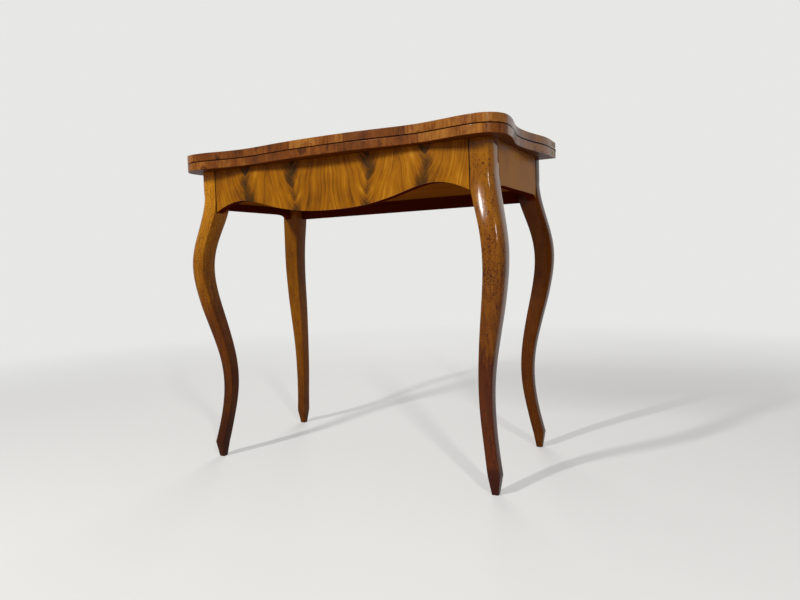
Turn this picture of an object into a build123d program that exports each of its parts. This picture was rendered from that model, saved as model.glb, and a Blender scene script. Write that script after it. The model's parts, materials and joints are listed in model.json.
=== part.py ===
from build123d import *
import os

# Folding game table: a serpentine top of two leaves, hinged at the back, that swivels a quarter turn
# on a shallow frame and then opens flat over it. The frame stands on four curved legs and holds a
# well for cards. Lengths are millimetres. X runs from left to right, Y from front to back, Z up.
# The origin is on the floor under the middle of the closed table.

# Whole table
table_height = 760.0
frame_width = 760.0
frame_depth = 379.0

# Top
leaf_thickness = 18.5
leaf_gap = 1.6
swivel_clearance = 0.3
face_veneer_thickness = 1.0
edge_band_thickness = 2.0
leaf_edge_round = 1.2
leaf_back_clearance = 0.15

# Outline of a leaf: how far its rear end stands past the frame, how far it is drawn in at the
# waist of each end and at the hollows of the front, and the rounding of the front corners
leaf_depth = 418.0
leaf_overhang = 37.5
waist_inset = 23.2
ear_radius = 51.0
hollow_setback = 18.0
# Ends of a leaf from the front corner to the rear: share of the leaf's depth forward of the back
# edge and inset as a share of the waist's
ear_inset_share = 0.26
waist_depth_share = 0.592
flare_shares = (0.338, 0.56)
rear_straight_share = 0.123
# Front of a leaf from the corner to the middle: share of the half width at the corner and setback
# as a share of the hollow's
leaf_front_shares = ((0.717, 0.452), (0.564, 1.0), (0.335, 0.623), (0.0, 0.242))

# Legs: a square section that sways outward at the knee and inward above the toe
post_width = 45.0
leg_outer_round = 18.0
leg_edge_round = 2.0
leg_joint_overrun = 2.0
post_cut_height = 240.0
knee_sway = 27.0
toe_height = 38.0
toe_width = 25.8
toe_sway = -1.1
foot_width = 14.4
foot_sway = -6.8
# Rounding of the outer corner at the toe and at the post, as shares of the knee's
toe_round_share = 0.12
post_round_share = 0.89
# Stations of the leg above the toe: share of the frame's height, sway as a share of the knee's,
# width as a share of the post's and rounding of the outer corner as a share of the knee's
leg_station_shares = (
    (0.115, -0.356, 0.566, 0.15),
    (0.178, -0.604, 0.578, 0.18),
    (0.240, -0.737, 0.607, 0.20),
    (0.303, -0.715, 0.642, 0.24),
    (0.366, -0.511, 0.696, 0.32),
    (0.428, -0.174, 0.767, 0.42),
    (0.491, 0.222, 0.838, 0.57),
    (0.553, 0.596, 0.891, 0.76),
    (0.616, 0.878, 0.927, 0.93),
    (0.679, 0.985, 0.962, 1.00),
    (0.741, 0.830, 0.991, 1.00),
    (0.804, 0.478, 1.040, 0.98),
    (0.866, 0.133, 1.091, 0.92),
)

# Aprons and back rail
apron_thickness = 22.0
side_apron_thickness = 20.0
rail_thickness = 20.0
apron_veneer_thickness = 1.0
apron_setback = 1.0
apron_height = 102.5
veneer_joint_gap = 0.8
tenon_thickness = 8.0
tenon_length = 25.0
tenon_top_shoulder = 12.0
tenon_foot_shoulder = 16.0

# Lower edge of the front apron: the rise of its two arches above the apron's foot and the drop of
# its middle below it
arch_rise = 24.0
apron_centre_drop = 15.0
# From the post to the middle: share of the half width between the posts and height above the
# apron's foot as a share of the arches' rise
arch_shares = ((0.911, 0.596), (0.768, 1.0), (0.506, 0.255), (0.253, -0.447))

# Lower edge of each side apron
bracket_length = 50.0
bracket_rise = 13.0
bracket_foot_slope = 2.0

# Card well
well_depth = 63.9
well_bottom_thickness = 8.0
groove_depth = 5.0
partition_thickness = 8.0

# Cross rail that carries the pivot
pivot_rail_thickness = 24.0
rail_lap_width = 60.0
rail_lap_length = 10.0
rail_lap_height = 12.0

# Pivot
pivot_radius = 6.0
running_clearance = 0.05
pivot_rail_bore_radius = 7.5
pivot_head_radius = 12.0
pivot_head_thickness = 4.0
rail_plate_width = 60.0
rail_plate_thickness = 3.0
leaf_plate_length = 84.0
leaf_plate_width = 60.0
leaf_plate_thickness = 3.0
plate_corner_round = 5.0
plate_screw_inset = 9.0
washer_radius = 14.0
washer_thickness = 2.0
washer_gap = 0.3
nut_radius = 11.0
nut_sides = 6
nut_thickness = 8.0
bolt_end_length = 3.0
stop_block_width = 19.0
stop_block_height = 18.0
stop_clearance = 0.3
stop_back_clearance = 4.7

# Screws
screw_radius = 1.75
screw_head_radius = 3.4
screw_head_thickness = 1.7
screw_length = 13.0
slot_width = 0.8
slot_depth = 0.7

# Hinges let into the ends of the leaves
hinge_plate_length = 50.0
hinge_plate_height = 9.0
hinge_plate_thickness = 3.0
hinge_end_round = 3.0
hinge_neck_length = 8.0
hinge_ear_radius = 4.0
hinge_relief = 0.3
hinge_ear_gap = 0.1
hinge_pin_radius = 1.5
hinge_screw_inset = 9.0

# One overrun for every cut that has to come out of the wood
overrun = 5.0

# Heights and planes that follow
lower_face_height = table_height - leaf_thickness - leaf_gap
fold_axis_height = lower_face_height + leaf_gap / 2
upper_face_height = table_height - leaf_thickness
lower_leaf_height = lower_face_height - leaf_thickness
frame_top = lower_leaf_height - swivel_clearance
back_y = frame_depth / 2
leaf_back_y = back_y - leaf_back_clearance
front_post_x = frame_width / 2 - post_width
front_post_y = frame_depth / 2 - post_width
apron_foot_height = frame_top - apron_height

# Outline of a leaf
rear_half_width = frame_width / 2 + leaf_overhang
ear_half_width = rear_half_width - ear_inset_share * waist_inset

# Planes of the front apron, of the side aprons and of the back rail
apron_face_y = -frame_depth / 2 + apron_setback + apron_veneer_thickness
apron_inner_y = apron_face_y + apron_thickness
side_face_x = frame_width / 2 - apron_setback - apron_veneer_thickness
side_inner_x = side_face_x - side_apron_thickness
rail_inner_y = back_y - rail_thickness

# The pivot lies on the diagonal that brings the opened top over the middle of the frame, and the
# cross rail is as wide as leaves room for the stop block in front of the back rail
pivot_x = back_y / 2
pivot_y = back_y / 2
stop_room = stop_clearance + stop_block_width + stop_back_clearance
pivot_rail_width = 2 * (rail_inner_y - pivot_y - stop_room)
rail_left_x = pivot_x - pivot_rail_width / 2
rail_underside = frame_top - pivot_rail_thickness
well_floor = frame_top - well_depth
well_bottom_height = well_floor - well_bottom_thickness

# Middle of the closed table from front to back, which the origin is put under
table_front_y = back_y - leaf_depth
table_back_y = back_y + knee_sway
middle_y = (table_front_y + table_back_y) / 2

nodes = {}


def block(x_low, x_high, y_low, y_high, z_low, z_high):
    """Box between two corners."""
    size = (x_high - x_low, y_high - y_low, z_high - z_low)
    middle = ((x_low + x_high) / 2, (y_low + y_high) / 2, (z_low + z_high) / 2)
    return Pos(*middle) * Box(*size)


def rod(radius, x, y, z_low, z_high):
    """Upright cylinder."""
    return Pos(x, y, (z_low + z_high) / 2) * Cylinder(radius, z_high - z_low)


def screw():
    """Slotted countersunk screw whose head lies in the plane Z = 0 and whose point looks down."""
    cone = Cone(screw_radius, screw_head_radius, screw_head_thickness)
    head = Pos(0, 0, -screw_head_thickness / 2) * cone
    shank = rod(screw_radius, 0, 0, -screw_length, -screw_head_thickness)
    return head + shank


def slotted(solid, place):
    """Cut the driver's slot into a screw that has been put in its place."""
    length = 2 * screw_head_radius + overrun
    slot = Pos(0, 0, -slot_depth / 2) * Box(length, slot_width, slot_depth)
    return solid - place * slot


def mirrored_points(points):
    """Points of a symmetrical outline, given from one end to the middle one on X = 0."""
    return list(points) + [(-x, y) for x, y in reversed(points[:-1])]


def leaf_outline(inset):
    """Serpentine outline of a leaf drawn in by an inset all round, or by nothing."""
    front_y = back_y - leaf_depth + inset
    ear_start_half_width = ear_half_width - ear_radius
    front = [(ear_start_half_width, front_y)]
    for width_share, setback_share in leaf_front_shares:
        front.append((width_share * ear_half_width, front_y + setback_share * hollow_setback))
    front = mirrored_points(front)
    flare_depth_share, flare_inset_share = flare_shares
    edges = [Spline(*front, tangents=[(-1, 0), (-1, 0)])]
    corners = []
    for side in (-1, 1):
        ear_start = (side * ear_start_half_width, front_y)
        waist_half_width = rear_half_width - waist_inset
        flare_half_width = rear_half_width - flare_inset_share * waist_inset
        end = [
            (side * (ear_half_width - inset), back_y - leaf_depth + ear_radius),
            (side * (waist_half_width - inset), back_y - waist_depth_share * leaf_depth),
            (side * (flare_half_width - inset), back_y - flare_depth_share * leaf_depth),
            (side * (rear_half_width - inset), back_y - rear_straight_share * leaf_depth),
        ]
        corners.append((side * (rear_half_width - inset), leaf_back_y - inset))
        edges.append(TangentArc(ear_start, end[0], tangent=(side, 0)))
        edges.append(Spline(*end, tangents=[(0, 1), (0, 1)]))
        edges.append(Line(end[-1], corners[-1]))
    edges.append(Line(*corners))
    return make_face(edges)


def leg_section(height, sway, width, round_share):
    """Square section of the front right leg, rounded most at the corner that looks outward."""
    outer_x = frame_width / 2 + sway
    outer_y = -frame_depth / 2 - sway
    corners = [
        (outer_x, outer_y),
        (outer_x, outer_y + width),
        (outer_x - width, outer_y + width),
        (outer_x - width, outer_y),
    ]
    radii = [round_share * leg_outer_round, leg_edge_round, leg_edge_round, leg_edge_round]
    outline = FilletPolyline(*corners, radius=radii, close=True)
    return Pos(0, 0, height) * make_face(outline)


def leg_blank():
    """Front right leg before its mortises are cut."""
    stations = [leg_section(toe_height, toe_sway, toe_width, toe_round_share)]
    for height_share, sway_share, width_share, round_share in leg_station_shares:
        stations.append(leg_section(height_share * frame_top, sway_share * knee_sway,
                                    width_share * post_width, round_share))
    post_height = apron_height / 2
    stations.append(leg_section(frame_top - post_height, 0, post_width + leg_joint_overrun,
                                post_round_share))
    shaft = loft(stations)
    shaft += extrude(stations[-1], amount=post_height, dir=(0, 0, 1))
    toe = loft([leg_section(0, foot_sway, foot_width, toe_round_share), stations[0]], ruled=True)
    # The two inner faces are cut flat where the aprons meet them, from above the knee
    low = frame_top - post_cut_height
    beyond_x = block(0, front_post_x, -frame_depth, frame_depth, low, frame_top)
    beyond_y = block(0, frame_width, -front_post_y, frame_depth, low, frame_top)
    return shaft + toe - beyond_x - beyond_y


def tenon(x_low, x_high, y_low, y_high):
    """Tenon, or the mortise of the same size."""
    return block(x_low, x_high, y_low, y_high,
                 apron_foot_height + tenon_foot_shoulder, frame_top - tenon_top_shoulder)


def long_tenon(side, inner_y, thickness):
    """Tenon at one end of the front apron or of the back rail."""
    middle = inner_y + thickness / 2
    ends = sorted((side * front_post_x, side * (front_post_x + tenon_length)))
    return tenon(*ends, middle - tenon_thickness / 2, middle + tenon_thickness / 2)


def side_tenon(side, end):
    """Tenon at the front (-1) or back (1) end of a side apron."""
    middle = side * (side_inner_x + side_apron_thickness / 2)
    ends = sorted((end * front_post_y, end * (front_post_y + tenon_length)))
    return tenon(middle - tenon_thickness / 2, middle + tenon_thickness / 2, *ends)


def make_legs():
    """Four legs, each cut for the tenons that enter it."""
    blank = leg_blank()
    for side, side_name in ((-1, "left"), (1, "right")):
        for end, end_name in ((-1, "front"), (1, "back")):
            leg = blank if side > 0 else mirror(blank, about=Plane.YZ)
            leg = leg if end < 0 else mirror(leg, about=Plane.XZ)
            if end < 0:
                leg -= long_tenon(side, apron_face_y, apron_thickness)
            else:
                leg -= long_tenon(side, rail_inner_y, rail_thickness)
            nodes[f"leg_{end_name}_{side_name}"] = leg - side_tenon(side, end)


def well_board():
    """Bottom board of the well, notched round the posts."""
    board = block(-side_inner_x - groove_depth, side_inner_x + groove_depth,
                  apron_inner_y - groove_depth, rail_inner_y + groove_depth,
                  well_bottom_height, well_floor)
    for side in (-1, 1):
        for end in (-1, 1):
            xs = sorted((side * front_post_x, side * frame_width))
            ys = sorted((end * front_post_y, end * frame_depth))
            board -= block(*xs, *ys, well_bottom_height, well_floor)
    return board


def front_apron_face():
    """Face of the front apron in the XZ plane, between the posts, with its two arches."""
    low = [(front_post_x, apron_foot_height)]
    for width_share, rise_share in arch_shares:
        low.append((width_share * front_post_x, apron_foot_height + rise_share * arch_rise))
    low.append((0, apron_foot_height - apron_centre_drop))
    low = mirrored_points(low)
    corners = [(-front_post_x, apron_foot_height), (-front_post_x, frame_top),
               (front_post_x, frame_top), (front_post_x, apron_foot_height)]
    return make_face([Spline(*low), Polyline(*corners)])


def side_apron_face():
    """Face of a side apron in the YZ plane, between the posts, with a rounded bracket at each."""
    straight_end = front_post_y - bracket_length
    straight_height = apron_foot_height + bracket_rise
    edges = [Polyline((-front_post_y, apron_foot_height), (-front_post_y, frame_top),
                      (front_post_y, frame_top), (front_post_y, apron_foot_height))]
    for end in (-1, 1):
        foot = (end * front_post_y, apron_foot_height)
        edges.append(Spline(foot, (end * straight_end, straight_height),
                            tangents=[(-end, bracket_foot_slope), (-end, 0)]))
    edges.append(Line((-straight_end, straight_height), (straight_end, straight_height)))
    return make_face(edges)


def pulled(face, plane, low, high):
    """Solid between two offsets of a face that is drawn in one of the main planes."""
    turned = plane.location * face
    step = plane.z_dir * low
    return Pos(step.X, step.Y, step.Z) * extrude(turned, amount=high - low, dir=plane.z_dir)


def make_frame():
    """Aprons, their veneers, the back rail, the well and the cross rail of the pivot."""
    front_plane = Plane(origin=(0, 0, 0), x_dir=(1, 0, 0), z_dir=(0, -1, 0))
    right_plane = Plane(origin=(0, 0, 0), x_dir=(0, 1, 0), z_dir=(1, 0, 0))
    board = well_board()
    rail = pivot_rail_blank()

    front_face = front_apron_face()
    front_core = pulled(front_face, front_plane, -apron_inner_y, -apron_face_y)
    for side in (-1, 1):
        front_core += long_tenon(side, apron_face_y, apron_thickness)
    nodes["front_apron"] = front_core - board - rail
    skin = pulled(front_face, front_plane, -apron_face_y, -apron_face_y + apron_veneer_thickness)
    sheet_names = ("outer_left", "inner_left", "inner_right", "outer_right")
    sheet_width = 2 * (front_post_x - veneer_joint_gap) / len(sheet_names)
    for index, name in enumerate(sheet_names):
        start = (index - len(sheet_names) / 2) * sheet_width
        sheet = block(start, start + sheet_width, -frame_depth, 0, 0, frame_top)
        nodes[f"front_veneer_{name}"] = skin & sheet

    side_face = side_apron_face()
    core = pulled(side_face, right_plane, side_inner_x, side_face_x)
    sheet = pulled(side_face, right_plane, side_face_x, side_face_x + apron_veneer_thickness)
    sheet &= block(0, frame_width, -front_post_y + veneer_joint_gap, front_post_y - veneer_joint_gap,
                   0, frame_top)
    for side, name in ((-1, "left"), (1, "right")):
        apron = core if side > 0 else mirror(core, about=Plane.YZ)
        for end in (-1, 1):
            apron += side_tenon(side, end)
        nodes[f"{name}_apron"] = apron - board
        nodes[f"{name}_veneer"] = sheet if side > 0 else mirror(sheet, about=Plane.YZ)

    back = block(-front_post_x, front_post_x, rail_inner_y, back_y, apron_foot_height, frame_top)
    for side in (-1, 1):
        back += long_tenon(side, rail_inner_y, rail_thickness)
    nodes["back_rail"] = back - board - rail

    nodes["well_bottom"] = board
    nodes["well_partition"] = block(rail_left_x, rail_left_x + partition_thickness,
                                    apron_inner_y, rail_inner_y, well_floor, rail_underside)
    nodes["pivot_rail"] = rail - rod(pivot_rail_bore_radius, pivot_x, pivot_y, rail_underside, frame_top)


def pivot_rail_blank():
    """Cross rail with a lap at each end that lies in the top of the apron and of the back rail."""
    rail = block(rail_left_x, rail_left_x + pivot_rail_width, apron_inner_y, rail_inner_y,
                 rail_underside, frame_top)
    lap = block(pivot_x - rail_lap_width / 2, pivot_x + rail_lap_width / 2,
                apron_inner_y - rail_lap_length, rail_inner_y + rail_lap_length,
                frame_top - rail_lap_height, frame_top)
    return rail + lap


def screw_places(length, width, height, flip):
    """Places of four screws in the corners of a pivot plate."""
    turn = Rot(180, 0, 0) if flip else Rot(0, 0, 0)
    places = []
    for x_side in (-1, 1):
        for y_side in (-1, 1):
            x = pivot_x + x_side * (length / 2 - plate_screw_inset)
            y = pivot_y + y_side * (width / 2 - plate_screw_inset)
            places.append(Pos(x, y, height) * turn)
    return places


def plate_blank(length, width, low, thickness):
    """Rounded plate round the pivot, or the recess that takes it."""
    outline = RectangleRounded(length, width, plate_corner_round)
    return Pos(pivot_x, pivot_y, low) * extrude(outline, amount=thickness)


def plate(blank, low, thickness, places):
    """Pivot plate with its bore and countersunk screw holes."""
    bore_radius = pivot_radius + running_clearance
    solid = blank - rod(bore_radius, pivot_x, pivot_y, low - overrun, low + thickness + overrun)
    for place in places:
        solid -= place * screw()
    return solid


def make_pivot():
    """Plates, bolt, washer and nut that hold the top to the cross rail, and the stop block."""
    rail_places = screw_places(rail_plate_width, rail_plate_width, frame_top, False)
    rail_plate_low = frame_top - rail_plate_thickness
    rail_blank = plate_blank(rail_plate_width, rail_plate_width, rail_plate_low, rail_plate_thickness)
    nodes["rail_plate"] = plate(rail_blank, rail_plate_low, rail_plate_thickness, rail_places)
    rail = nodes["pivot_rail"] - rail_blank
    for place in rail_places:
        rail -= place * screw()
    nodes["pivot_rail"] = rail
    nodes["rail_plate_screws"] = [slotted(place * screw(), place) for place in rail_places]

    leaf_places = screw_places(leaf_plate_length, leaf_plate_width, lower_leaf_height, True)
    leaf_blank = plate_blank(leaf_plate_length, leaf_plate_width, lower_leaf_height, leaf_plate_thickness)
    nodes["leaf_plate"] = plate(leaf_blank, lower_leaf_height, leaf_plate_thickness, leaf_places)
    head_low = lower_leaf_height + leaf_plate_thickness
    head_high = head_low + pivot_head_thickness
    core = nodes["lower_leaf_core"] - leaf_blank
    core -= rod(pivot_head_radius, pivot_x, pivot_y, head_low, head_high)
    for place in leaf_places:
        core -= place * screw()
    nodes["lower_leaf_core"] = core
    nodes["leaf_plate_screws"] = [slotted(place * screw(), place) for place in leaf_places]

    washer_high = rail_underside - washer_gap
    nut_high = washer_high - washer_thickness
    nut_low = nut_high - nut_thickness
    bolt_low = nut_low - bolt_end_length
    bolt = rod(pivot_head_radius, pivot_x, pivot_y, head_low, head_high)
    bolt += rod(pivot_radius, pivot_x, pivot_y, bolt_low, head_low)
    nodes["pivot_bolt"] = bolt
    hole = rod(pivot_radius + running_clearance, pivot_x, pivot_y, bolt_low, washer_high)
    nodes["pivot_washer"] = rod(washer_radius, pivot_x, pivot_y, nut_high, washer_high) - hole
    nut_outline = RegularPolygon(nut_radius, nut_sides)
    nut = Pos(pivot_x, pivot_y, nut_low) * extrude(nut_outline, amount=nut_thickness)
    nodes["pivot_nut"] = nut - hole

    nodes["stop_block"] = stop_block()


def stop_block():
    """Block under the lower leaf that meets the cross rail at each end of the quarter turn."""
    reach = pivot_rail_width / 2 + stop_clearance
    return block(pivot_x - reach - stop_block_width, pivot_x - reach,
                 pivot_y + reach, pivot_y + reach + stop_block_width,
                 lower_leaf_height - stop_block_height, lower_leaf_height)


def banding(blank, core_outline, low, name):
    """Cross-banded strips round the edge of a leaf."""
    ring = blank - Pos(0, 0, low) * extrude(core_outline, amount=leaf_thickness)
    high = low + leaf_thickness
    ear_y = back_y - leaf_depth + ear_radius
    rear_y = leaf_back_y - edge_band_thickness
    reach = frame_width
    nodes[f"{name}_leaf_front_band"] = ring & block(-reach, reach, -frame_width, ear_y, low, high)
    nodes[f"{name}_leaf_left_band"] = ring & block(-reach, 0, ear_y, rear_y, low, high)
    nodes[f"{name}_leaf_right_band"] = ring & block(0, reach, ear_y, rear_y, low, high)
    nodes[f"{name}_leaf_rear_band"] = ring & block(-reach, reach, rear_y, frame_width, low, high)


def make_leaves():
    """Cores, face veneers and edge bands of the two leaves."""
    outline = leaf_outline(0)
    core_outline = leaf_outline(edge_band_thickness)
    for name, low in (("lower", lower_leaf_height), ("upper", upper_face_height)):
        blank = Pos(0, 0, low) * extrude(outline, amount=leaf_thickness)
        flat_faces = blank.faces().filter_by(Axis.Z)
        blank = fillet(flat_faces.edges(), radius=leaf_edge_round)
        banding(blank, core_outline, low, name)
        play_low = low if name == "upper" else low + leaf_thickness - face_veneer_thickness
        veneer = extrude(core_outline, amount=face_veneer_thickness)
        nodes[f"{name}_playing_veneer"] = Pos(0, 0, play_low) * veneer
        core_low = low + face_veneer_thickness if name == "upper" else low
        core_high = low + leaf_thickness - face_veneer_thickness
        core = extrude(core_outline, amount=core_high - core_low)
        nodes[f"{name}_leaf_core"] = Pos(0, 0, core_low) * core
    show_low = table_height - face_veneer_thickness
    nodes["upper_show_veneer"] = Pos(0, 0, show_low) * extrude(core_outline, amount=face_veneer_thickness)


def on_end(side, solid):
    """Put a solid that is made for the right-hand end on the named end."""
    return solid if side > 0 else mirror(solid, about=Plane.YZ)


def hinge_plate(upper, ear_low_x, ear_high_x):
    """Right-hand plate: a bar in the end of the leaf and an ear that reaches the pin."""
    sign = 1 if upper else -1
    middle = (upper_face_height if upper else lower_face_height) + sign * leaf_thickness / 2
    x_low = rear_half_width - hinge_plate_thickness
    bar = block(x_low, rear_half_width, leaf_back_y - hinge_plate_length, leaf_back_y,
                middle - hinge_plate_height / 2, middle + hinge_plate_height / 2)
    front_edges = bar.edges().filter_by(Axis.X).group_by(Axis.Y)[0]
    bar = fillet(front_edges, radius=hinge_end_round)
    neck_heights = sorted((fold_axis_height, middle))
    neck_y = leaf_back_y - hinge_neck_length
    neck = block(ear_low_x, ear_high_x, neck_y, leaf_back_y, *neck_heights)
    return bar + neck + hinge_rod(hinge_ear_radius, ear_low_x, ear_high_x)


def hinge_rod(radius, x_low, x_high):
    """Cylinder on the fold axis."""
    turned = Rot(0, 90, 0) * Cylinder(radius, x_high - x_low)
    return Pos((x_low + x_high) / 2, back_y, fold_axis_height) * turned


def hinge_screw_places(upper):
    """Places of the two screws of a right-hand plate."""
    sign = 1 if upper else -1
    middle = (upper_face_height if upper else lower_face_height) + sign * leaf_thickness / 2
    distances = (hinge_plate_length - hinge_screw_inset, hinge_neck_length + hinge_screw_inset)
    return [Pos(rear_half_width, leaf_back_y - distance, middle) * Rot(0, 90, 0) for distance in distances]


def make_hinges():
    """Hinge plates, pins and screws, and their seats in the ends of the leaves."""
    inner_x = rear_half_width - hinge_plate_thickness
    middle_x = rear_half_width - hinge_plate_thickness / 2
    ears = {
        "lower": (middle_x + hinge_ear_gap / 2, rear_half_width),
        "upper": (inner_x, middle_x - hinge_ear_gap / 2),
    }
    pin = hinge_rod(hinge_pin_radius, inner_x, rear_half_width)
    bores = {
        "lower": pin,
        "upper": hinge_rod(hinge_pin_radius + running_clearance, inner_x, rear_half_width),
    }
    relief = hinge_rod(hinge_ear_radius + hinge_relief, inner_x, rear_half_width)
    for name in ("lower", "upper"):
        upper = name == "upper"
        places = hinge_screw_places(upper)
        screws = [place * screw() for place in places]
        hinge = hinge_plate(upper, *ears[name]) - bores[name]
        seat = hinge_plate(upper, inner_x, rear_half_width) + relief
        for fastener in screws:
            hinge -= fastener
            seat += fastener
        for side, side_name in ((-1, "left"), (1, "right")):
            nodes[f"{side_name}_hinge_{name}_plate"] = on_end(side, hinge)
            for wood in ("leaf_core", f"leaf_{side_name}_band", "leaf_rear_band", "playing_veneer"):
                nodes[f"{name}_{wood}"] -= on_end(side, seat)
        heads = [slotted(fastener, place) for fastener, place in zip(screws, places)]
        nodes[f"{name}_hinge_screws"] = [on_end(side, head) for side in (-1, 1) for head in heads]
    for side, side_name in ((-1, "left"), (1, "right")):
        nodes[f"{side_name}_hinge_pin"] = on_end(side, pin)


def export():
    """Move every node over the origin and write it."""
    os.makedirs("parts", exist_ok=True)
    move = Pos(0, -middle_y, 0)
    for name, solid in nodes.items():
        pieces = solid if isinstance(solid, list) else [solid]
        solids = [body for piece in pieces for body in piece.solids()]
        moved = [move * body for body in solids]
        shape = moved[0] if len(moved) == 1 else Compound(children=moved)
        export_step(shape, os.path.join("parts", f"{name}.step"))
    print("nodes", len(nodes))
    print("pivot", pivot_x, pivot_y - middle_y, frame_top)
    print("fold axis", back_y - middle_y, fold_axis_height)


make_legs()
make_frame()
make_leaves()
make_pivot()
make_hinges()
export()
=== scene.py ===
"""Finish and light the folding game table.

The table's joinery comes packed as the frame. This script gives every piece its polished,
stained or metal finish, and adds the camera, the lamps and a plain pale floor.
"""

from __future__ import annotations

import json
import logging
import math
from dataclasses import dataclass
from enum import Enum
from typing import Any

import bpy
from mathutils import Matrix, Vector

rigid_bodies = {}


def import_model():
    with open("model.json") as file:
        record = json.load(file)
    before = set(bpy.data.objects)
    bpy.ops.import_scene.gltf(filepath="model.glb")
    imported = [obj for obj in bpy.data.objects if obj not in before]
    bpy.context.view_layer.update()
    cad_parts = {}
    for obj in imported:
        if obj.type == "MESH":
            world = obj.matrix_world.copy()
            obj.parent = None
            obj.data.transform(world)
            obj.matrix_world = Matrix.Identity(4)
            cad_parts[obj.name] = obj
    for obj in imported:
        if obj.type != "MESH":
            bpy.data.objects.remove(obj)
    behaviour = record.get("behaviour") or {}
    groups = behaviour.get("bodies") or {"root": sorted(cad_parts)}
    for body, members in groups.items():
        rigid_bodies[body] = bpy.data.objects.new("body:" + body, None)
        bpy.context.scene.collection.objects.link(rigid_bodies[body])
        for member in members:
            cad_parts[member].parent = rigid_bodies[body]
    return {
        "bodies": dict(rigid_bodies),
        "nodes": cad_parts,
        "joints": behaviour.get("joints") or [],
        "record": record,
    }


LOG = logging.getLogger("game_table")
PICTURE_WIDTH = 800.0

# Half sizes of the frame over its legs, in metres, and its middle from front to back
FRAME_HALF_WIDTH = 0.380
FRAME_HALF_DEPTH = 0.1895
FRAME_MIDDLE_Y = 0.006
# Height of a leg, and how far its curved axis stands outside the frame's corner, from the toe up
LEG_HEIGHT = 0.7211
LEG_AXIS = (
    (0.000, -0.0140), (0.038, -0.0140), (0.083, -0.0223), (0.128, -0.0293), (0.173, -0.0336),
    (0.219, -0.0337), (0.264, -0.0295), (0.309, -0.0220), (0.354, -0.0129), (0.399, -0.0039),
    (0.444, 0.0028), (0.489, 0.0049), (0.534, 0.0001), (0.580, -0.0105), (0.625, -0.0210),
    (0.670, -0.0225), (0.7211, -0.0225),
)
# How many times larger a colour ramp holds the places of that axis, so that they span its range
AXIS_SCALE = 10.0
# How strongly the faces of a leg are rounded, per metre
LEG_CROWN = 3.2
# Height of the seam between the closed leaves
SEAM_HEIGHT = 0.7407

Color = tuple[float, float, float]
Point = tuple[float, float, float]
# Two numbers that belong together, such as the ends of a range or a width and a height
Pair = tuple[float, float]

# Knee of the front right leg, which the windows light, and middle of the back rail
KNEE: Point = (0.375, -0.19, 0.58)
BACK: Point = (0.0, 0.19, 0.55)
# Red stain on the softwood of the aprons and the back rail
STAIN_DARK: Color = (0.052, 0.006, 0.0005)
STAIN_LIGHT: Color = (0.130, 0.020, 0.002)


class Grain(Enum):
    """Axis that the wood's fibres follow."""

    ALONG_X = 0
    ALONG_Y = 1
    ALONG_Z = 2


class RampShape(Enum):
    """How a colour ramp runs between its stops."""

    STRAIGHT = "LINEAR"
    SMOOTH = "B_SPLINE"


@dataclass(frozen=True)
class Pattern:
    """Smooth noise: its periods per metre along two or three directions, and its finer layers."""

    densities: tuple[float, ...]
    layers: float = 3.0
    layer_strength: float = 0.55


def shade(color: Color, share: float) -> Color:
    """Darken or lighten a colour.

    Args:
        color: the colour.
        share: what each of its parts is multiplied by.

    Returns:
        The new colour.
    """
    return tuple(share * part for part in color)


class Signal:
    """A shader socket that takes part in Python expressions."""

    def __init__(self, graph: Graph, socket: bpy.types.NodeSocket) -> None:
        """Keep the graph and the socket.

        Args:
            graph: the graph that the socket belongs to.
            socket: an output socket that carries a number.
        """
        self.graph = graph
        self.socket = socket

    def math(self, operation: str, *others: Signal | float) -> Signal:
        """Apply a Math node to this signal.

        Args:
            operation: name of the Math node's operation.
            others: the operation's further values.

        Returns:
            The result as a signal.
        """
        inputs = dict(enumerate((self, *others)))
        return self.graph.signal("ShaderNodeMath", {"operation": operation}, inputs)

    def __add__(self, other: Signal | float) -> Signal:
        """Sum."""
        return self.math("ADD", other)

    __radd__ = __add__

    def __mul__(self, other: Signal | float) -> Signal:
        """Product."""
        return self.math("MULTIPLY", other)

    __rmul__ = __mul__

    def __sub__(self, other: Signal | float) -> Signal:
        """Difference."""
        return self.math("SUBTRACT", other)

    def __rsub__(self, other: float) -> Signal:
        """Difference from a plain number."""
        return (self * -1.0) + other

    def __abs__(self) -> Signal:
        """Size without its sign."""
        return self.math("ABSOLUTE")

    def clamped(self) -> Signal:
        """Limit the signal to the range from 0 to 1."""
        return self.math("MINIMUM", 1.0).math("MAXIMUM", 0.0)

    def least(self, other: Signal | float) -> Signal:
        """Lesser of two signals."""
        return self.math("MINIMUM", other)

    def floor(self) -> Signal:
        """Round down."""
        return self.math("FLOOR")

    def swing(self, share: Signal | float) -> Signal:
        """Swing of a noise about its middle value, times a share."""
        return (self - 0.5) * share

    def step(self, low: float, high: float) -> Signal:
        """Rise smoothly from 0 at one value to 1 at another.

        Args:
            low: value at which the result is 0.
            high: value at which the result is 1, which may be the lesser of the two.

        Returns:
            The smooth step.
        """
        settings = {"interpolation_type": "SMOOTHSTEP"}
        if low < high:
            return self.graph.signal("ShaderNodeMapRange", settings, {0: self, 1: low, 2: high})
        inputs = {0: self, 1: high, 2: low, 3: 1.0, 4: 0.0}
        return self.graph.signal("ShaderNodeMapRange", settings, inputs)


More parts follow.
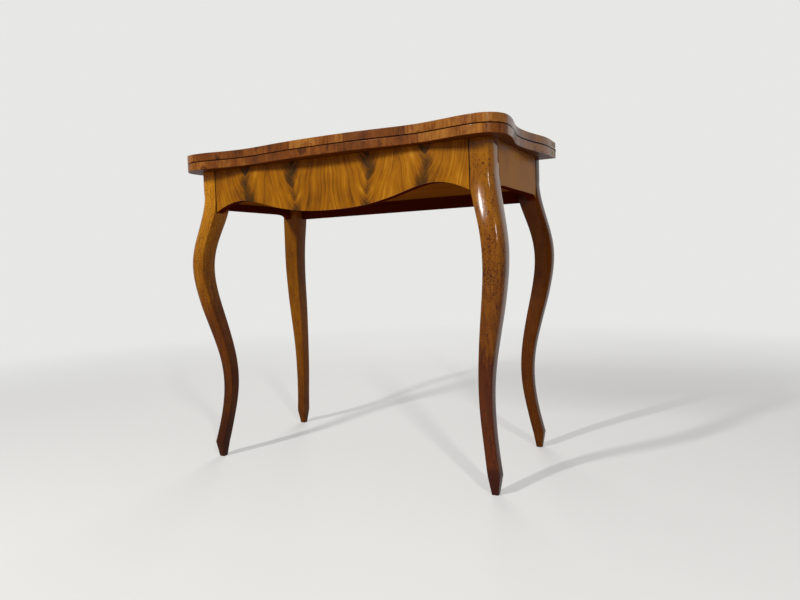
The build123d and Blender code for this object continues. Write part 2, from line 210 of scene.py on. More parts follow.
class Graph:
    """Node tree of one material or of the world."""

    def __init__(self, owner: str | bpy.types.World) -> None:
        """Start an empty tree.

        Args:
            owner: name of a new material, or the world.
        """
        self.owner = bpy.data.materials.new(owner) if isinstance(owner, str) else owner
        self.owner.use_nodes = True
        self.tree = self.owner.node_tree
        self.tree.nodes.clear()

    def node(self, kind: str, settings: dict[str, Any],
             inputs: dict[int | str, Any]) -> bpy.types.Node:
        """Add a node.

        Args:
            kind: Blender's type name of the node.
            settings: properties of the node, set first.
            inputs: values or links by socket name or number.

        Returns:
            The new node.
        """
        made = self.tree.nodes.new(kind)
        for name, value in settings.items():
            setattr(made, name, value)
        for key, value in inputs.items():
            source = value.socket if isinstance(value, Signal) else value
            if isinstance(source, bpy.types.NodeSocket):
                self.tree.links.new(source, made.inputs[key])
            else:
                made.inputs[key].default_value = source
        return made

    def signal(self, kind: str, settings: dict[str, Any],
               inputs: dict[int | str, Any]) -> Signal:
        """Add a node and return its first output as a signal."""
        return Signal(self, self.node(kind, settings, inputs).outputs[0])

    def place(self) -> tuple[Signal, Signal, Signal]:
        """Read the place on the piece.

        Returns:
            The three Object coordinates in metres.
        """
        coordinates = self.node("ShaderNodeTexCoord", {}, {})
        split = self.node("ShaderNodeSeparateXYZ", {}, {0: coordinates.outputs["Object"]})
        return tuple(Signal(self, output) for output in split.outputs)

    def vector(self, x: Signal | float, y: Signal | float,
               z: Signal | float) -> bpy.types.NodeSocket:
        """Join three numbers to a vector."""
        return self.node("ShaderNodeCombineXYZ", {}, {0: x, 1: y, 2: z}).outputs[0]

    def noise(self, pattern: Pattern, places: tuple[Signal, ...],
              seed: Signal | float = 0.0) -> Signal:
        """Smooth noise around 0.5.

        Args:
            pattern: densities and layers of the noise.
            places: two or three places on the piece, one for each density.
            seed: shift in the third direction, which tells patterns of a kind apart.

        Returns:
            The noise.
        """
        scaled = [place * density for place, density in zip(places, pattern.densities)]
        third = scaled[2] + seed if len(scaled) == 3 else seed
        inputs = {"Vector": self.vector(scaled[0], scaled[1], third), "Scale": 1.0,
                  "Detail": pattern.layers, "Roughness": pattern.layer_strength}
        return self.signal("ShaderNodeTexNoise", {}, inputs)

    def chance(self, x: Signal | float, y: Signal | float) -> Signal:
        """Random number that is the same for the same place."""
        return self.signal("ShaderNodeTexWhiteNoise", {}, {"Vector": self.vector(x, y, 0.0)})

    def ramp(self, factor: Signal, stops: tuple[tuple[float, Color], ...],
             shape: RampShape = RampShape.STRAIGHT) -> bpy.types.NodeSocket:
        """Colours along a factor.

        Args:
            factor: place along the ramp.
            stops: places and colours of the ramp.
            shape: how the ramp runs between its stops.

        Returns:
            The colour socket.
        """
        made = self.node("ShaderNodeValToRGB", {}, {0: factor})
        made.color_ramp.interpolation = shape.value
        elements = made.color_ramp.elements
        while len(elements) < len(stops):
            elements.new(0.5)
        for element, (place, color) in zip(elements, stops):
            element.position = place
            element.color = (*color, 1.0)
        return made.outputs[0]

    def mix(self, factor: Signal | float, low: Any, high: Any) -> bpy.types.NodeSocket:
        """Mix two colours.

        Args:
            factor: share of the second colour.
            low: first colour, as a socket or a plain colour.
            high: second colour.

        Returns:
            The colour socket.
        """
        colors = [(*c, 1.0) if isinstance(c, tuple) else c for c in (low, high)]
        inputs = {0: factor, 6: colors[0], 7: colors[1]}
        return self.node("ShaderNodeMix", {"data_type": "RGBA"}, inputs).outputs[2]

    def finish(self, color: bpy.types.NodeSocket, roughness: Signal, height: Signal,
               metallic: float = 0.0, coat: float = 0.0, coat_roughness: float = 0.12,
               gloss: float = 0.10, bump: float = 0.2, bump_depth: float = 0.0004,
               crown: Signal | None = None) -> bpy.types.Material:
        """Close the graph with a shader.

        Args:
            color: colour of the surface.
            roughness: roughness of the surface.
            height: relief of the surface from 0 to 1.
            metallic: 1 on metal.
            coat: weight of the polish over the colour.
            coat_roughness: roughness of the polish.
            gloss: specular level of wood; metal keeps the shader's own.
            bump: strength of the relief.
            bump_depth: depth of the relief in metres.
            crown: how far a slightly rounded face stands out, in metres, or None.

        Returns:
            The finished material.
        """
        relief = {"Strength": bump, "Distance": bump_depth, "Height": height}
        if crown is not None:
            rounding = {"Strength": 1.0, "Distance": 1.0, "Height": crown}
            relief["Normal"] = self.node("ShaderNodeBump", {}, rounding).outputs[0]
        inputs = {
            "Base Color": color,
            "Roughness": roughness,
            "Metallic": metallic,
            "Coat Weight": coat,
            "Coat Roughness": coat_roughness,
            "Specular IOR Level": 0.5 if metallic else gloss,
            "Normal": self.node("ShaderNodeBump", {}, relief).outputs[0],
        }
        shader = self.node("ShaderNodeBsdfPrincipled", {}, inputs)
        self.node("ShaderNodeOutputMaterial", {}, {0: shader.outputs[0]})
        return self.owner


@dataclass(frozen=True)
class FlameVeneer:
    """Flame-figured walnut veneer in book-matched sheets, with dark feathers.

    The feathers stand upright on a face in the XZ plane, or lie front to back on a face in the
    XY plane. The strands of the wood run down to each feather from both sides, ever steeper with
    their reach from it.
    """

    name: str
    # How far the feathers stand from the middle
    feather_places: tuple[float, ...]
    flat: bool = False
    # How far a feather's halo reaches, and within which reach it is full
    feather_width: float = 0.034
    feather_heart: float = 0.004
    # Where a feather's dark core starts and where it is full, as shares of its width
    core_reach: Pair = (0.66, -0.12)
    # Painted shadow in the gaps at the joints with the posts: how far these joints stand from the
    # middle, or 0 where there are none
    shadow_line_place: float = 0.0
    shadow_line_inset: Pair = (0.0040, 0.0022)
    shadow_line_share: float = 0.95
    shadow_line_shade: float = 0.4
    # Height of the middle of an upright sheet
    middle: float = 0.67
    seed: float = 0.0

    # How the feathers drift and the strands warp, and how steeply the strands run
    drift: Pattern = Pattern((2.0, 9.0), 2.0)
    drift_width: float = 0.026
    warp: Pattern = Pattern((13.0, 8.0), 2.0)
    warp_seed: float = 3.0
    warp_width: float = 0.018
    slope: float = 0.80
    slope_growth: float = 36.0

    strands: Pattern = Pattern((44.0, 4.0, 1.5), 6.0, 0.72)
    fibres: Pattern = Pattern((190.0, 70.0, 12.0), 4.0, 0.6)
    clouds: Pattern = Pattern((24.0, 11.0), 3.0)
    cloud_seed: float = 7.0
    bands: Pattern = Pattern((15.0, 6.0), 3.0, 0.6)
    band_seed: float = 11.0
    pores: Pattern = Pattern((900.0, 900.0, 260.0), 1.0)
    pore_range: Pair = (0.66, 0.76)
    pore_share: float = 0.45

    # How far strands, bands and clouds make the core of a feather ragged
    strand_ragged: float = 0.030
    band_ragged: float = 0.024
    cloud_ragged: float = 0.022

    # Tone of the plain wood, the shares of the patterns in it, and what a halo adds to them
    tone: float = 0.61
    cloud_share: float = 0.85
    strand_share: float = 0.90
    strand_halo_share: float = 0.70
    band_share: float = 0.60
    band_halo_share: float = 0.40
    fibre_share: float = 0.65
    halo_depth: float = 0.13
    core_depth: float = 0.36
    # The right half is a little paler than the left: by how much, and how wide their seam is
    half_step: float = 0.06
    half_seam: float = 0.0004
    core_share: float = 0.25
    core_olive: Color = (0.070, 0.040, 0.010)
    stops: tuple[tuple[float, Color], ...] = (
        (0.00, (0.030, 0.012, 0.002)),
        (0.25, (0.098, 0.034, 0.002)),
        (0.50, (0.230, 0.078, 0.002)),
        (0.75, (0.352, 0.134, 0.003)),
        (1.00, (0.530, 0.258, 0.022)),
    )

    roughness: float = 0.30
    roughness_spread: float = 0.14
    fibre_relief: float = 0.6
    pore_relief: float = 0.4
    coat: float = 0.05
    gloss: float = 0.05
    bump: float = 0.10

    def build(self) -> bpy.types.Material:
        """Make the veneer's material."""
        graph = Graph(self.name)
        x, y, z = graph.place()
        along = y * -1.0 if self.flat else z - self.middle
        mirrored = abs(x)
        drift = graph.noise(self.drift, (mirrored, along), self.seed)
        drifted = mirrored + drift.swing(self.drift_width)
        reach = abs(drifted - self.feather_places[0])
        for place in self.feather_places[1:]:
            reach = reach.least(abs(drifted - place))
        warp = graph.noise(self.warp, (mirrored, along), self.seed + self.warp_seed)
        feather = along - reach * (self.slope + reach * self.slope_growth)
        feather = feather + warp.swing(self.warp_width)
        strands = graph.noise(self.strands, (feather, mirrored, along))
        fibres = graph.noise(self.fibres, (feather, mirrored, along))
        clouds = graph.noise(self.clouds, (mirrored, along), self.seed + self.cloud_seed)
        bands = graph.noise(self.bands, (feather, mirrored), self.seed + self.band_seed)

        halo = reach.step(self.feather_width, self.feather_heart)
        ragged = reach + strands.swing(self.strand_ragged) + bands.swing(self.band_ragged)
        ragged = ragged + clouds.swing(self.cloud_ragged)
        core_start, core_full = (share * self.feather_width for share in self.core_reach)
        core = ragged.step(core_start, core_full)

        tone = self.tone + clouds.swing(self.cloud_share)
        tone = tone + strands.swing(self.strand_share + halo * self.strand_halo_share)
        tone = tone + bands.swing(self.band_share + halo * self.band_halo_share)
        tone = tone + fibres.swing(self.fibre_share)
        tone = tone - halo * self.halo_depth - core * self.core_depth
        tone = tone + x.step(-self.half_seam, self.half_seam).swing(self.half_step)
        color = graph.ramp(tone.clamped(), self.stops)
        color = graph.mix(core * self.core_share, color, self.core_olive)
        pore = graph.noise(self.pores, (x, y, z)).step(*self.pore_range)
        darkest = self.stops[0][1]
        color = graph.mix(pore * self.pore_share, color, darkest)
        # Painted shadow: a dark line in the gap between the veneer and each post
        if self.shadow_line_place > 0.0:
            start, end = (self.shadow_line_place - inset for inset in self.shadow_line_inset)
            gap_shadow = mirrored.step(start, end) * self.shadow_line_share
            color = graph.mix(gap_shadow, color, shade(darkest, self.shadow_line_shade))
        relief = fibres * self.fibre_relief - pore * self.pore_relief
        return graph.finish(color, self.roughness + clouds.swing(self.roughness_spread), relief,
                            coat=self.coat, gloss=self.gloss, bump=self.bump)


@dataclass(frozen=True)
class PolishedWalnut:
    """Plain straight-grained walnut under a French polish, with open pores and flecks."""

    name: str
    grain: Grain
    dark: Color = (0.048, 0.011, 0.001)
    brown: Color = (0.144, 0.038, 0.001)
    light: Color = (0.350, 0.135, 0.002)
    brown_place: float = 0.45
    # Tone at the middle height, its rise per metre above it, and the shares of the patterns in it
    tone: float = 0.55
    # On a leg the rise is partly painted light: the leg is darker lower down, where less light
    # falls
    tone_rise: float = 0.0
    tone_height: float = 0.5
    contrast: float = 0.42
    cloud_share: float = 0.65
    seed: float = 0.0

    sway: Pattern = Pattern((9.0, 9.0, 4.0), 2.0)
    sway_width: float = 0.03
    streaks: Pattern = Pattern((150.0, 150.0, 6.0), 5.0, 0.62)
    clouds: Pattern = Pattern((18.0, 18.0, 9.0), 4.0, 0.6)
    pores: Pattern = Pattern((1100.0, 1100.0, 150.0), 2.0, 0.6)
    pore_range: Pair = (0.58, 0.70)
    pore_share: float = 0.5

    # Flecks: their share, and the heights between which they stand denser
    flecks: float = 0.6
    fleck_low: float = 0.0
    fleck_high: float = 1.0
    fleck_fade: float = 0.03
    fleck_color: Color = (0.040, 0.007, 0.001)
    fleck_range: Pair = (0.752, 0.812)
    specks: Pattern = Pattern((320.0, 320.0, 240.0), 2.0)
    patches: Pattern = Pattern((60.0, 60.0, 26.0), 2.0)
    patch_share: float = 0.30
    dense_share: float = 0.055

    # Dark stain on the foot of a leg: its height or -1, and the raggedness of its upper edge
    stain_height: float = -1.0
    stain: Color = (0.082, 0.0150, 0.001)
    stain_share: float = 0.85
    stain_shades: Pair = (0.55, 1.5)
    stain_contrast: float = 1.6
    stain_offset: float = 0.3
    stain_fade: Pair = (0.020, -0.030)
    streak_ragged: float = 0.16
    cloud_ragged: float = 0.10

    # Darker toe of a leg: its height or -1
    toe_height: float = -1.0
    toe_color: Color = (0.036, 0.004, 0.0005)
    toe_share: float = 0.8
    toe_fade: float = 0.006
    toe_ragged: float = 0.012

    # Painted shadow in the gaps at the joints with the posts: how far these joints stand from the
    # middle of the frame, or 0
    joint_shadow_place: float = 0.0
    joint_shadow_inset: Pair = (0.0050, 0.0015)
    joint_shadow_share: float = 0.8
    joint_shadow_shade: float = 0.4

    roughness: float = 0.18
    roughness_spread: float = 0.10
    streak_relief: float = 0.35
    pore_relief: float = 0.5
    coat: float = 0.0
    coat_roughness: float = 0.10
    gloss: float = 0.085
    bump: float = 0.08
    # Side and end of the frame that a leg stands at, as signs, or None on a flat piece
    corner: tuple[int, int] | None = None

    def crown(self, graph: Graph, x: Signal, y: Signal, z: Signal) -> Signal | None:
        """Round the faces of a leg slightly about its curved axis.

        Args:
            graph: the material's graph.
            x: place from left to right.
            y: place from front to back.
            z: height.

        Returns:
            How far the face stands out, or None on a flat piece.
        """
        if self.corner is None:
            return None
        stops = tuple((height / LEG_HEIGHT, (0.5 + outset * AXIS_SCALE,) * 3)
                      for height, outset in LEG_AXIS)
        axis = Signal(graph, graph.ramp(z * (1.0 / LEG_HEIGHT), stops, RampShape.SMOOTH))
        outset = axis.swing(1.0 / AXIS_SCALE)
        side, end = self.corner
        from_x = x * float(side) - outset - FRAME_HALF_WIDTH
        from_y = (y - FRAME_MIDDLE_Y) * float(end) - outset - FRAME_HALF_DEPTH
        return (from_x * from_x + from_y * from_y) * -LEG_CROWN

    def add_foot(self, graph: Graph, color: bpy.types.NodeSocket, z: Signal, streaks: Signal,
                 clouds: Signal) -> bpy.types.NodeSocket:
        """Stain the foot of a leg.

        Args:
            graph: the material's graph.
            color: colour of the wood so far.
            z: height.
            streaks: streaks along the grain.
            clouds: soft clouds in the wood.

        Returns:
            The new colour.
        """
        edge = z + streaks.swing(self.streak_ragged) + clouds.swing(self.cloud_ragged)
        start, end = (self.stain_height + fade for fade in self.stain_fade)
        deep, pale = (shade(self.stain, share) for share in self.stain_shades)
        streaky = (streaks * self.stain_contrast - self.stain_offset).clamped()
        stained = edge.step(start, end) * self.stain_share
        return graph.mix(stained, color, graph.mix(streaky, deep, pale))

    def add_flecks(self, graph: Graph, color: bpy.types.NodeSocket, place: tuple[Signal, ...],
                   z: Signal) -> bpy.types.NodeSocket:
        """Strew dark flecks over the wood.

        Args:
            graph: the material's graph.
            color: colour of the wood so far.
            place: places across the grain, twice, and along it.
            z: height.

        Returns:
            The new colour.
        """
        patches = graph.noise(self.patches, place, self.seed)
        specks = graph.noise(self.specks, place, self.seed)
        dense = z.step(self.fleck_low, self.fleck_low + self.fleck_fade)
        dense = dense * z.step(self.fleck_high, self.fleck_high - self.fleck_fade)
        crowd = specks + patches * self.patch_share + dense * self.dense_share
        return graph.mix(crowd.step(*self.fleck_range) * self.flecks, color, self.fleck_color)

    def build(self) -> bpy.types.Material:
        """Make the walnut's material."""
        graph = Graph(self.name)
        x, y, z = place = graph.place()
        along = place[self.grain.value]
        first, second = (place[axis] for axis in range(3) if axis != self.grain.value)
        sway = graph.noise(self.sway, (first, second, along), self.seed).swing(self.sway_width)
        streaks = graph.noise(self.streaks, (first + sway, second + sway, along), self.seed)
        clouds = graph.noise(self.clouds, (first, second, along), self.seed)
        pore = graph.noise(self.pores, (first, second, along)).step(*self.pore_range)

        # Tone rising with height: on the legs partly painted light
        tone = self.tone + (z - self.tone_height) * self.tone_rise
        tone = tone + streaks.swing(self.contrast) + clouds.swing(self.cloud_share)
        stops = ((0.0, self.dark), (self.brown_place, self.brown), (1.0, self.light))
        color = graph.ramp(tone.clamped(), stops)
        color = graph.mix(pore * self.pore_share, color, self.dark)
        if self.stain_height > 0.0:
            color = self.add_foot(graph, color, z, streaks, clouds)
        if self.flecks > 0.0:
            color = self.add_flecks(graph, color, (first, second, along), z)
        if self.toe_height > 0.0:
            toe = z + clouds.swing(self.toe_ragged)
            toe = toe.step(self.toe_height + self.toe_fade, self.toe_height - self.toe_fade)
            color = graph.mix(toe * self.toe_share, color, self.toe_color)
        # Painted shadow: a dark line in the gap between the side veneer and each post
        if self.joint_shadow_place > 0.0:
            start, end = (self.joint_shadow_place - inset for inset in self.joint_shadow_inset)
            gap_shadow = abs(y - FRAME_MIDDLE_Y).step(start, end) * self.joint_shadow_share
            color = graph.mix(gap_shadow, color, shade(self.dark, self.joint_shadow_shade))
        relief = streaks * self.streak_relief - pore * self.pore_relief
        return graph.finish(color, self.roughness + clouds.swing(self.roughness_spread), relief,
                            coat=self.coat, coat_roughness=self.coat_roughness, gloss=self.gloss,
                            bump=self.bump, crown=self.crown(graph, x, y, z))


@dataclass(frozen=True)
class CrossBanding:
    """Edge banding whose fibres stand upright, cut in strips of differing tone."""

    name: str
    along: Grain
    strip_length: float = 0.142
    offset: float = 0.0
    seed: float = 0.0

    fibres: Pattern = Pattern((260.0, 260.0, 26.0), 5.0, 0.66)
    strip_seed: float = 9.0
    patches: Pattern = Pattern((19.0, 19.0, 16.0), 4.0, 0.62)
    pores: Pattern = Pattern((1100.0, 1100.0, 180.0), 2.0)
    pore_range: Pair = (0.60, 0.72)
    pore_share: float = 0.5

    tone: float = 0.55
    strip_share: float = 0.42
    fibre_share: float = 1.0
    patch_share: float = 1.4
    # Dark smudges: the range of the patches in which they set in, and their depth
    smudge_range: Pair = (0.57, 0.66)
    smudge_depth: float = 0.50
    dark: Color = (0.026, 0.006, 0.001)
    brown: Color = (0.168, 0.046, 0.004)
    light: Color = (0.385, 0.158, 0.026)

    # Shadow in the seam between the leaves
    seam_reach: float = 0.0008
    seam_fade: float = 0.0008
    seam_share: float = 0.95
    seam_shade: float = 0.3

    roughness: float = 0.30
    roughness_spread: float = 0.2
    fibre_relief: float = 0.5
    pore_relief: float = 0.5
    coat: float = 0.14
    gloss: float = 0.06
    bump: float = 0.12

    def build(self) -> bpy.types.Material:
        """Make the banding's material."""
        graph = Graph(self.name)
        place = graph.place()
        along = place[self.along.value]
        other = place[1 - self.along.value]
        z = place[2]
        strip = ((along + self.offset) * (1.0 / self.strip_length)).floor()
        strip_tone = graph.chance(strip, self.seed)
        fibres = graph.noise(self.fibres, (along, other, z), strip_tone * self.strip_seed)
        patches = graph.noise(self.patches, (along, other, z), self.seed)
        pore = graph.noise(self.pores, (along, other, z)).step(*self.pore_range)
        tone = self.tone + strip_tone.swing(self.strip_share) + fibres.swing(self.fibre_share)
        tone = tone + patches.swing(self.patch_share)
        tone = tone - patches.step(*self.smudge_range) * self.smudge_depth
        stops = ((0.0, self.dark), (0.5, self.brown), (1.0, self.light))
        color = graph.ramp(tone.clamped(), stops)
        color = graph.mix(pore * self.pore_share, color, self.dark)
        seam = abs(z - SEAM_HEIGHT).step(self.seam_reach + self.seam_fade, self.seam_reach)
        color = graph.mix(seam * self.seam_share, color, shade(self.dark, self.seam_shade))
        relief = fibres * self.fibre_relief - pore * self.pore_relief
        return graph.finish(color, self.roughness + patches.swing(self.roughness_spread), relief,
                            coat=self.coat, gloss=self.gloss, bump=self.bump)


@dataclass(frozen=True)
class RawTimber:
    """Stained or bare timber without polish."""

    name: str
    grain: Grain
    dark: Color
    light: Color

    rings: Pattern = Pattern((90.0, 90.0, 3.0), 4.0)
    clouds: Pattern = Pattern((12.0, 12.0, 4.0), 2.0)
    fibres: Pattern = Pattern((900.0, 900.0, 40.0), 2.0)
    tone: float = 0.5
    ring_share: float = 0.9
    cloud_share: float = 0.6
    fibre_share: float = 0.3
    roughness: float = 0.6
    roughness_spread: float = 0.15
    relief_share: float = 0.5
    gloss: float = 0.0
    bump: float = 0.35

    def build(self) -> bpy.types.Material:
        """Make the timber's material."""
        graph = Graph(self.name)
        place = graph.place()
        along = place[self.grain.value]
        first, second = (place[axis] for axis in range(3) if axis != self.grain.value)
        rings = graph.noise(self.rings, (first, second, along))
        clouds = graph.noise(self.clouds, (first, second, along))
        fibres = graph.noise(self.fibres, (first, second, along))
        tone = self.tone + rings.swing(self.ring_share) + clouds.swing(self.cloud_share)
        tone = tone + fibres.swing(self.fibre_share)
        color = graph.ramp(tone.clamped(), ((0.0, self.dark), (1.0, self.light)))
        relief = rings * self.relief_share + fibres * self.relief_share
        return graph.finish(color, self.roughness + clouds.swing(self.roughness_spread), relief,
                            gloss=self.gloss, bump=self.bump)


@dataclass(frozen=True)
class AgedMetal:
    """Old brass, iron or steel with a dull skin."""

    name: str
    clean: Color
    aged: Color
    roughness: float = 0.42

    spots: Pattern = Pattern((260.0, 260.0, 260.0), 4.0)
    scratches: Pattern = Pattern((90.0, 1500.0, 1500.0), 2.0)
    scratch_share: float = 0.3
    dull_range: Pair = (0.40, 0.62)
    dull_roughness: float = 0.22
    bump: float = 0.15

    def build(self) -> bpy.types.Material:
        """Make the metal's material."""
        graph = Graph(self.name)
        place = graph.place()
        spots = graph.noise(self.spots, place)
        scratches = graph.noise(self.scratches, place)
        dull = (spots + scratches.swing(self.scratch_share)).step(*self.dull_range)
        color = graph.mix(dull, self.clean, self.aged)
        return graph.finish(color, self.roughness + dull * self.dull_roughness, spots,
                            metallic=1.0, bump=self.bump)


def dress(frame: dict[str, Any], node: str, material: bpy.types.Material) -> None:
    """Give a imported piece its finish.

    Args:
        frame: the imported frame.
        node: the piece's name.
        material: its finish.
    """
    mesh = frame["nodes"][node].data
    if not mesh.materials:
        mesh.materials.append(material)
    for index in range(len(mesh.materials)):
        mesh.materials[index] = material
    LOG.info("%s: %s", node, material.name)


@dataclass
class CabrioleLegs:
    """Four curved legs, which have faded and darkened each in its own way; the back right leg's
    dark tone is partly painted shade of the table's shadow, and their tone rising with height is
    partly painted light.
    """

    finishes: tuple[tuple[str, PolishedWalnut], ...] = (
        ("leg_front_right",
         PolishedWalnut("walnut_leg_front_right", Grain.ALONG_Z, tone=0.58, tone_rise=0.9,
                        contrast=0.8, flecks=0.9, fleck_low=0.40, fleck_high=0.53,
                        stain_height=0.300, toe_height=0.055, seed=1.3, gloss=0.15,
                        roughness=0.10, corner=(1, -1))),
        ("leg_front_left",
         PolishedWalnut("walnut_leg_front_left", Grain.ALONG_Z, tone=0.67, tone_rise=1.5,
                        contrast=0.6, light=(0.50, 0.205, 0.008), flecks=0.5, seed=4.1,
                        corner=(-1, -1))),
        ("leg_back_left",
         PolishedWalnut("walnut_leg_back_left", Grain.ALONG_Z, tone=0.72, tone_rise=0.5,
                        flecks=0.4, seed=7.7, corner=(-1, 1))),
        # Dark tone: partly darker wood, partly painted shade of the table's shadow over this leg
        ("leg_back_right",
         PolishedWalnut("walnut_leg_back_right", Grain.ALONG_Z, tone=0.22, flecks=0.4, seed=9.2,
                        corner=(1, 1))),
    )

    def build(self, frame: dict[str, Any]) -> None:
        """Polish the legs."""
        for node, finish in self.finishes:
            dress(frame, node, finish.build())


@dataclass
class ApronFrame:
    """Aprons, back rail, card well and cross rail."""

    flame: FlameVeneer = FlameVeneer("walnut_flame", (0.100, 0.236), shadow_line_place=0.335)
    # Pale warm tone of the sides: partly the wood, partly painted light that the sides catch off
    # the floor
    side: PolishedWalnut = PolishedWalnut("walnut_side", Grain.ALONG_Z, tone=0.90, flecks=0.0,
                                          seed=2.2, coat=0.05, gloss=0.08, roughness=0.5,
                                          joint_shadow_place=0.1445)
    core: RawTimber = RawTimber("stained_softwood", Grain.ALONG_X, STAIN_DARK, STAIN_LIGHT)
    side_core: RawTimber = RawTimber("stained_softwood_side", Grain.ALONG_Y, STAIN_DARK,
                                     STAIN_LIGHT)
    board: RawTimber = RawTimber("well_board", Grain.ALONG_X, (0.150, 0.055, 0.007),
                                 (0.420, 0.180, 0.040))
    beech: RawTimber = RawTimber("pale_beech", Grain.ALONG_Y, (0.240, 0.130, 0.060),
                                 (0.420, 0.260, 0.140))

    def build(self, frame: dict[str, Any]) -> None:
        """Finish the fixed joinery."""
        flame = self.flame.build()
        for sheet in ("outer_left", "inner_left", "inner_right", "outer_right"):
            dress(frame, f"front_veneer_{sheet}", flame)
        side, side_core, core = self.side.build(), self.side_core.build(), self.core.build()
        for name in ("left", "right"):
            dress(frame, f"{name}_veneer", side)
            dress(frame, f"{name}_apron", side_core)
        dress(frame, "front_apron", core)
        dress(frame, "back_rail", core)
        board, beech = self.board.build(), self.beech.build()
        dress(frame, "well_bottom", board)
        dress(frame, "well_partition", board)
        dress(frame, "pivot_rail", beech)
        dress(frame, "stop_block", beech)


@dataclass
class Leaves:
    """Two leaves with their veneers and cross-banded edges."""

    show: FlameVeneer = FlameVeneer("walnut_show_face", (0.105, 0.315), flat=True, seed=5.0,
                                    core_depth=0.22)
    playing: FlameVeneer = FlameVeneer("walnut_playing_face", (0.21,), flat=True, seed=9.0,
                                       core_depth=0.16)
    # Darker tone on the leaves' undersides: partly the wood, partly painted shade under the leaves
    core: PolishedWalnut = PolishedWalnut("walnut_underside", Grain.ALONG_X, tone=0.34,
                                          contrast=0.45, flecks=0.2, roughness=0.45, gloss=0.06)
    # Where the strips of the lower leaf's edges start, and how much later the upper leaf's do
    front_offset: float = 0.05
    front_shift: float = 0.03
    end_shift: float = 0.02
    front_seed: float = 3.0
    end_seed: float = 6.0
    # The ends are shinier, and their seam gapes wider, so the painted shadow in it reaches further
    end_gloss: float = 0.2
    end_seam_reach: float = 0.0017

    def build(self, frame: dict[str, Any]) -> None:
        """Finish both leaves."""
        core, playing = self.core.build(), self.playing.build()
        dress(frame, "upper_show_veneer", self.show.build())
        for index, leaf in enumerate(("lower", "upper")):
            dress(frame, f"{leaf}_leaf_core", core)
            dress(frame, f"{leaf}_playing_veneer", playing)
            front = CrossBanding(f"banding_{leaf}_front", Grain.ALONG_X,
                                 offset=self.front_offset + self.front_shift * index,
                                 seed=self.front_seed + index).build()
            ends = CrossBanding(f"banding_{leaf}_ends", Grain.ALONG_Y,
                                offset=self.end_shift * index, seed=self.end_seed + index,
                                gloss=self.end_gloss, seam_reach=self.end_seam_reach).build()
            dress(frame, f"{leaf}_leaf_front_band", front)
            dress(frame, f"{leaf}_leaf_rear_band", front)
            dress(frame, f"{leaf}_leaf_left_band", ends)
            dress(frame, f"{leaf}_leaf_right_band", ends)


@dataclass
class Metalwork:
    """Pivot, hinges and screws."""

    brass: AgedMetal = AgedMetal("old_brass", (0.24, 0.155, 0.05), (0.045, 0.028, 0.013))
    iron: AgedMetal = AgedMetal("forged_iron", (0.19, 0.18, 0.17), (0.055, 0.043, 0.036), 0.5)
    steel: AgedMetal = AgedMetal("screw_steel", (0.42, 0.40, 0.38), (0.14, 0.12, 0.10), 0.38)

    def build(self, frame: dict[str, Any]) -> None:
        """Finish the metal pieces."""
        brass, iron, steel = self.brass.build(), self.iron.build(), self.steel.build()
        for side in ("left", "right"):
            for leaf in ("lower", "upper"):
                dress(frame, f"{side}_hinge_{leaf}_plate", brass)
            dress(frame, f"{side}_hinge_pin", steel)
        for node in ("rail_plate", "leaf_plate", "pivot_bolt", "pivot_washer", "pivot_nut"):
            dress(frame, node, iron)
        for owner in ("rail_plate", "leaf_plate", "lower_hinge", "upper_hinge"):
            dress(frame, f"{owner}_screws", steel)


@dataclass(frozen=True)
class SoftBox:
    """Soft rectangular lamp.

    Its middle stands at a place and looks at a target. Its size is width and height in metres,
    and its power is in watts.
    """

    name: str
    place: Point
    target: Point
    size: Pair
    power: float

    def build(self) -> None:
        """Hang the lamp."""
        data = bpy.data.lights.new(self.name, "AREA")
        data.shape = "RECTANGLE"
        data.size, data.size_y = self.size
        data.energy = self.power
        lamp = bpy.data.objects.new(self.name, data)
        aim = (Vector(self.target) - Vector(self.place)).to_track_quat("-Z", "Y")
        lamp.matrix_world = Matrix.Translation(self.place) @ aim.to_matrix().to_4x4()
        bpy.context.scene.collection.objects.link(lamp)


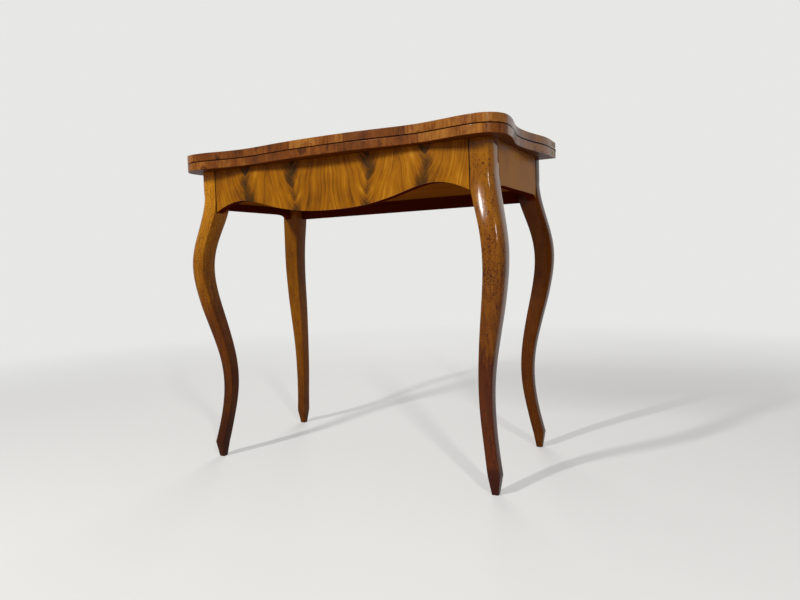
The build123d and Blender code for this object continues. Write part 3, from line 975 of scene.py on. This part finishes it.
@dataclass
class Studio:
    """Camera, lamps, floor and surroundings."""

    camera_place: Point = (0.7766, -1.3689, 0.4843)
    yaw: float = -27.17
    pitch: float = -3.59
    roll: float = -2.08
    # Focal length in pixels of the picture, width of the sensor in millimetres, and the nearest
    # distance that the camera sees
    focal_length: float = 625.7
    sensor_width: float = 36.0
    nearest: float = 0.05

    floor_size: float = 60.0
    floor_color: Color = (0.80, 0.785, 0.76)
    floor_bounce: Color = (0.36, 0.23, 0.10)
    floor_roughness: float = 0.7
    floor_gloss: float = 0.1
    # Share of the plain backdrop in the floor near the table, and where it starts and ends to rise
    floor_blend: float = 0.35
    floor_fade: Pair = (0.9, 3.2)
    backdrop: Color = (0.80, 0.80, 0.785)
    ambient: float = 0.24
    ambient_color: Color = (1.0, 1.0, 1.0)

    lamps: tuple[SoftBox, ...] = (
        SoftBox("window_left", (-0.930, -2.56, 2.24), KNEE, (0.10, 0.62), 70.0),
        SoftBox("window_right", (1.80, -1.95, 1.64), KNEE, (0.13, 0.6), 27.0),
        SoftBox("fill_back", (-1.10, 2.20, 1.70), BACK, (1.2, 1.2), 24.0),
    )

    def add_camera(self) -> None:
        """Put the camera where the photograph was taken."""
        yaw, pitch, roll = (math.radians(angle) for angle in (self.yaw, self.pitch, self.roll))
        forward = Vector((math.sin(yaw) * math.cos(pitch), math.cos(yaw) * math.cos(pitch),
                          math.sin(pitch)))
        level = Vector((math.cos(yaw), -math.sin(yaw), 0.0))
        upright = level.cross(forward)
        right = level * math.cos(roll) + upright * math.sin(roll)
        up = upright * math.cos(roll) - level * math.sin(roll)
        turn = Matrix((right, up, -forward)).transposed().to_4x4()
        data = bpy.data.cameras.new("camera")
        data.sensor_width = self.sensor_width
        data.lens = self.focal_length / PICTURE_WIDTH * self.sensor_width
        data.clip_start = self.nearest
        camera = bpy.data.objects.new("camera", data)
        camera.matrix_world = Matrix.Translation(self.camera_place) @ turn
        bpy.context.scene.collection.objects.link(camera)
        bpy.context.scene.camera = camera

    def shown(self, graph: Graph) -> Signal:
        """Tell rays that show the surroundings from rays that only carry light.

        Args:
            graph: graph of the floor or of the world.

        Returns:
            1 on rays from the camera, off a gloss or through glass, and 0 on the rest.
        """
        path = graph.node("ShaderNodeLightPath", {}, {})
        camera, glossy, through = (Signal(graph, path.outputs[f"Is {kind} Ray"])
                                   for kind in ("Camera", "Glossy", "Transmission"))
        return camera.math("MAXIMUM", glossy).math("MAXIMUM", through)

    def add_floor(self) -> None:
        """Lay a plain pale floor.

        It sends warm light up to the table, and fades to the backdrop far away.
        """
        bpy.ops.mesh.primitive_plane_add(size=self.floor_size)
        floor = bpy.context.active_object
        floor.name = "floor"
        graph = Graph("pale_floor")
        x, y, _ = graph.place()
        shown = self.shown(graph)
        color = graph.mix(shown, self.floor_bounce, self.floor_color)
        inputs = {"Base Color": color, "Roughness": self.floor_roughness,
                  "Specular IOR Level": self.floor_gloss}
        lit = graph.node("ShaderNodeBsdfPrincipled", {}, inputs)
        plain = graph.node("ShaderNodeEmission", {}, {"Color": (*self.backdrop, 1.0)})
        distance = (x * x + y * y).math("SQRT")
        rise = distance.step(*self.floor_fade) * (1.0 - self.floor_blend)
        share = (self.floor_blend + rise) * shown
        inputs = {0: share, 1: lit.outputs[0], 2: plain.outputs[0]}
        mix = graph.node("ShaderNodeMixShader", {}, inputs)
        graph.node("ShaderNodeOutputMaterial", {}, {0: mix.outputs[0]})
        floor.data.materials.append(graph.owner)

    def add_world(self) -> None:
        """Surround the table with soft light and a pale backdrop."""
        world = bpy.data.worlds.new("studio")
        graph = Graph(world)
        inputs = {0: (*self.ambient_color, 1.0), 1: self.ambient}
        soft = graph.node("ShaderNodeBackground", {}, inputs)
        plain = graph.node("ShaderNodeBackground", {}, {0: (*self.backdrop, 1.0)})
        inputs = {0: self.shown(graph), 1: soft.outputs[0], 2: plain.outputs[0]}
        mix = graph.node("ShaderNodeMixShader", {}, inputs)
        graph.node("ShaderNodeOutputWorld", {}, {0: mix.outputs[0]})
        bpy.context.scene.world = world

    def build(self) -> None:
        """Set up the whole studio."""
        bpy.context.scene.view_settings.view_transform = "Standard"
        self.add_camera()
        self.add_floor()
        self.add_world()
        for lamp in self.lamps:
            lamp.build()
            LOG.info("%s: %.0f W", lamp.name, lamp.power)


def main() -> None:
    """Finish the table piece by piece and light it."""
    logging.basicConfig(level=logging.INFO, format="%(name)s %(message)s")
    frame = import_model()
    bpy.ops.object.select_all(action="DESELECT")
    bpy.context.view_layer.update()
    CabrioleLegs().build(frame)
    ApronFrame().build(frame)
    Leaves().build(frame)
    Metalwork().build(frame)
    Studio().build()


if __name__ == "__main__":
    main()
